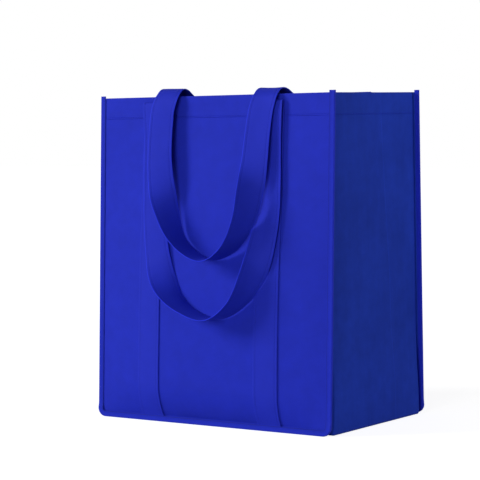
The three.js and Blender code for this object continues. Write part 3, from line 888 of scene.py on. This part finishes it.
# A Geometry Nodes tree that lays stitches along lines. The lines carry a "facing" direction.
def makeStitchTree():
    tree = bpy.data.node_groups.new("stitchRow", "GeometryNodeTree")
    sockets = {}
    for label, kind, value in (
            ("Geometry", "NodeSocketGeometry", None), ("Pitch", "NodeSocketFloat", 0.003),
            ("Stitch Length", "NodeSocketFloat", 0.0025), ("Thread", "NodeSocketFloat", 0.0005),
            ("Seed", "NodeSocketInt", 1), ("Material", "NodeSocketMaterial", None)):
        socket = tree.interface.new_socket(name=label, in_out="INPUT", socket_type=kind)
        if value is not None:
            socket.default_value = value
        sockets[label] = socket.identifier
    tree.interface.new_socket(name="Geometry", in_out="OUTPUT", socket_type="NodeSocketGeometry")

    def add(kind, links=(), **settings):
        node = tree.nodes.new(kind)
        for key, value in settings.items():
            setattr(node, key, value)
        for socket, source in links:
            if isinstance(source, bpy.types.NodeSocket):
                tree.links.new(source, node.inputs[socket])
            else:
                node.inputs[socket].default_value = source
        return node

    given = add("NodeGroupInput")
    curve = add("GeometryNodeMeshToCurve", [("Mesh", given.outputs["Geometry"])])
    even = add("GeometryNodeResampleCurve",
               [("Curve", curve.outputs[0]), ("Length", given.outputs["Pitch"])], mode="LENGTH")
    facing = add("GeometryNodeInputNamedAttribute", [("Name", "facing")], data_type="FLOAT_VECTOR")
    along = add("GeometryNodeInputTangent")
    turnA = add("FunctionNodeAlignRotationToVector", [("Vector", along.outputs[0])], axis="X")
    turnB = add("FunctionNodeAlignRotationToVector",
                [("Rotation", turnA.outputs[0]), ("Vector", facing.outputs["Attribute"])],
                axis="Z", pivot_axis="X")
    wander = add("FunctionNodeRandomValue",
                 [("Min", -stitchShape["wander"]), ("Max", stitchShape["wander"]),
                  ("Seed", given.outputs["Seed"])], data_type="FLOAT")
    spin = add("ShaderNodeCombineXYZ", [("Z", wander.outputs[1])])
    asTurn = add("FunctionNodeEulerToRotation", [("Euler", spin.outputs[0])])
    turned = add("FunctionNodeRotateRotation",
                 [("Rotation", turnB.outputs[0]), ("Rotate By", asTurn.outputs[0])], rotation_space="LOCAL")
    halfLength = add("ShaderNodeMath", [(0, given.outputs["Stitch Length"]), (1, 0.5)], operation="MULTIPLY")
    halfThread = add("ShaderNodeMath", [(0, given.outputs["Thread"]), (1, 0.5)], operation="MULTIPLY")
    size = add("ShaderNodeCombineXYZ", [
        ("X", halfLength.outputs[0]), ("Y", halfThread.outputs[0]), ("Z", halfThread.outputs[0])])
    bead = add("GeometryNodeMeshUVSphere", [
        ("Segments", stitchShape["segments"]), ("Rings", stitchShape["rings"]), ("Radius", 1.0)])
    rounded = add("GeometryNodeSetShadeSmooth", [("Geometry", bead.outputs["Mesh"])])
    placed = add("GeometryNodeInstanceOnPoints", [
        ("Points", even.outputs[0]), ("Instance", rounded.outputs[0]),
        ("Rotation", turned.outputs[0]), ("Scale", size.outputs[0])])
    real = add("GeometryNodeRealizeInstances", [("Geometry", placed.outputs[0])])
    dyed = add("GeometryNodeSetMaterial",
               [("Geometry", real.outputs[0]), ("Material", given.outputs["Material"])])
    result = add("NodeGroupOutput")
    tree.links.new(dyed.outputs[0], result.inputs[0])
    return tree, sockets


stitchTree, stitchSockets = makeStitchTree()


# lines is a list of (points, facing directions); the result is a plain mesh of stitches
def sew(name, lines, look):
    points = np.concatenate([p for p, _ in lines])
    facing = np.concatenate([f for _, f in lines])
    edges, first = [], 0
    for p, _ in lines:
        edges += [(first + k, first + k + 1) for k in range(len(p) - 1)]
        first += len(p)
    guide = bpy.data.meshes.new(name + "Line")
    guide.from_pydata((points * mm).tolist(), edges, [])
    attribute = guide.attributes.new("facing", "FLOAT_VECTOR", "POINT")
    attribute.data.foreach_set("vector", facing.astype(np.float32).ravel())
    carrier = bpy.data.objects.new(name + "Line", guide)
    scene.collection.objects.link(carrier)
    modifier = carrier.modifiers.new("stitches", "NODES")
    modifier.node_group = stitchTree
    for label, value in (("Pitch", look["pitch"] * mm), ("Stitch Length", look["length"] * mm),
                         ("Thread", look["thread"] * mm), ("Seed", look["seed"]), ("Material", thread)):
        modifier[stitchSockets[label]] = value
    depsgraph = bpy.context.evaluated_depsgraph_get()
    mesh = bpy.data.meshes.new_from_object(
        carrier.evaluated_get(depsgraph), preserve_all_data_layers=True, depsgraph=depsgraph)
    bpy.data.objects.remove(carrier)
    mesh.name = name
    made = bpy.data.objects.new(name, mesh)
    scene.collection.objects.link(made)
    return made


# Where the lines of stitches run. "sink" and "press" set the thread into the cloth.
sewing = {"panelEnd": 152, "besideStrap": 0.6, "step": 4, "sink": 0.02, "press": 0.1, "seamColumns": 7}


def stripLine(grid, rows, column, lift):
    normal = gridNormals(grid)[rows, column]
    return grid[rows, column] + normal * lift, normal * np.sign(lift)


def hemLines():
    s = sewing
    strapOut = bag["strapSpacing"] / 2 + bag["strapWidth"] / 2 + s["besideStrap"]
    strapIn = bag["strapSpacing"] / 2 - bag["strapWidth"] / 2 - s["besideStrap"]
    outer = bag["cloth"] / 2 - s["sink"]
    inner = 3 * bag["cloth"] / 2 - s["sink"]
    lines = []
    for back in (False, True):
        for start, end in ((-s["panelEnd"], -strapOut), (-strapIn, strapIn), (strapOut, s["panelEnd"])):
            x = np.linspace(start, end, max(2, int((end - start) / s["step"])))
            for away in (outer, -inner):
                points = settle(onPanel(x, hemStitch, away - s["press"] * np.sign(away), back))
                outwards = (0, (1 if back else -1) * np.sign(away), 0)
                lines.append((points, np.tile(outwards, (len(x), 1))))
    # the gusset's rows run down the left side and up the right
    heights = gussetGrid[:, gussetGrid.shape[1] // 4, 2]
    half = len(heights) // 2
    leftRow = np.argmin(np.abs(heights[:half] - hemStitch))
    rightRow = len(heights) - 1 - np.argmin(np.abs(heights[::-1][:half] - hemStitch))
    clear = slice(s["seamColumns"], -s["seamColumns"])
    for row in (leftRow, rightRow):
        for lift in (s["press"] - outer, inner - s["press"]):
            lines.append(stripLine(gussetGrid, row, clear, lift))
    return lines


def strapLines(grid, free):
    column = int(np.argmin(np.abs(strapShares * bag["strapWidth"] - stitchIn["strap"])))
    lift = bag["strapThick"] / 2 - strap["groove"]
    lines = []
    for place in (column, grid.shape[1] - 1 - column):
        lines.append(stripLine(grid, slice(2, -2), place, lift))
        lines.append(stripLine(grid, free, place, -lift))
    return lines


def tapeLines(grid):
    column = int(np.argmin(np.abs(np.array(binding["shares"]) * binding["leaf"] - stitchIn["tape"])))
    return [stripLine(grid, slice(1, -1), column, -(bag["tape"] / 2 - binding["groove"]))]


hemStitches = sew("hemStitches", hemLines(), stitching["hem"])
frontStrapStitches = sew("frontStrapStitches", strapLines(frontStrapGrid, frontFree), stitching["strap"])
backStrapStitches = sew("backStrapStitches", strapLines(backStrapGrid, backFree), stitching["strap"])
frontTapeStitches = sew("frontTapeStitches", tapeLines(frontTapeGrid), stitching["tape"])
backTapeStitches = sew("backTapeStitches", tapeLines(backTapeGrid), stitching["tape"])
print("stitches sewn")


# Each piece and its stitches go under the root, and the CAD part it stands for is hidden
def declare(piece, node, withPieces=()):
    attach(piece, "root")
    for part in withPieces:
        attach(part, "root")
    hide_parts(node)


declare(frontPanel, "front_panel", [hemStitches])
declare(backPanel, "back_panel")
declare(gussetCloth, "gusset")
declare(frontBinding, "front_binding",
        [frontTapeStitches])
declare(backBinding, "back_binding",
        [backTapeStitches])
declare(frontHandle, "front_handle",
        [frontStrapStitches])
declare(backHandle, "back_handle",
        [backStrapStitches])


# Floor, backdrop and light, in metres and watts. The floor glows more from "near" to "far" away.
stageLook = {
    "floor": (0.5, 0.5, 0.5), "floorRough": 0.9, "floorHalf": 12, "glow": 0.84, "farGlow": 1.0,
    "near": 0.5, "far": 1.8, "world": 0.12,
}
lampLook = {
    "key": {"place": (-2.3, -2.0, 1.5), "aim": (0, 0, 0.2), "size": 1.2, "power": 66},
    "front": {"place": (0.6, -2.85, 0.45), "aim": (0, 0, 0.2), "size": 1.2, "power": 31},
    "side": {"place": (0.95, 0.38, 0.42), "aim": (0.15, 0.05, 0.2), "size": 0.4, "power": 2.5},
}


# 1 for what the camera sees, straight on, mirrored or through glass, and 0 for what only lights the bag
def seen(tree):
    path = tree.nodes.new("ShaderNodeLightPath")
    mirrored = maths(tree, "MAXIMUM", path.outputs["Is Camera Ray"], path.outputs["Is Glossy Ray"])
    return maths(tree, "MAXIMUM", mirrored, path.outputs["Is Transmission Ray"])


def makeFloor():
    look = stageLook
    material, tree, shader = newMaterial("floorPaper")
    shader.inputs["Base Color"].default_value = (*look["floor"], 1)
    shader.inputs["Roughness"].default_value = look["floorRough"]
    shader.inputs["Specular IOR Level"].default_value = 0.0
    coords = tree.nodes.new("ShaderNodeTexCoord")
    reach = tree.nodes.new("ShaderNodeVectorMath")
    reach.operation = "LENGTH"
    tree.links.new(coords.outputs["Object"], reach.inputs[0])
    glow = stepBetween(tree, reach.outputs["Value"], look["near"], look["far"], look["glow"], look["farGlow"])
    shader.inputs["Emission Color"].default_value = (1, 1, 1, 1)
    tree.links.new(maths(tree, "MULTIPLY", seen(tree), glow), shader.inputs["Emission Strength"])
    mesh = bpy.data.meshes.new("floor")
    half = look["floorHalf"]
    corners = [(-half, -half, 0), (half, -half, 0), (half, half, 0), (-half, half, 0)]
    mesh.from_pydata(corners, [], [(0, 1, 2, 3)])
    mesh.materials.append(material)
    floor = bpy.data.objects.new("floor", mesh)
    scene.collection.objects.link(floor)


def makeWorld():
    world = bpy.data.worlds.new("studio")
    scene.world = world
    world.use_nodes = True
    tree = world.node_tree
    background = tree.nodes["Background"]
    background.inputs["Color"].default_value = (1, 1, 1, 1)
    shown = maths(tree, "MULTIPLY", seen(tree), 1 - stageLook["world"])
    tree.links.new(maths(tree, "ADD", shown, stageLook["world"]), background.inputs["Strength"])


def makeLamp(name, look):
    data = bpy.data.lights.new(name, "AREA")
    data.shape, data.size, data.energy = "DISK", look["size"], look["power"]
    lamp = bpy.data.objects.new(name, data)
    lamp.location = look["place"]
    outOfAim = Vector(look["place"]) - Vector(look["aim"])
    lamp.rotation_euler = outOfAim.to_track_quat("Z", "Y").to_euler()
    lamp.visible_camera = False
    scene.collection.objects.link(lamp)


makeFloor()
makeWorld()
for lampName, look in lampLook.items():
    makeLamp(lampName, look)
print("stage lit")
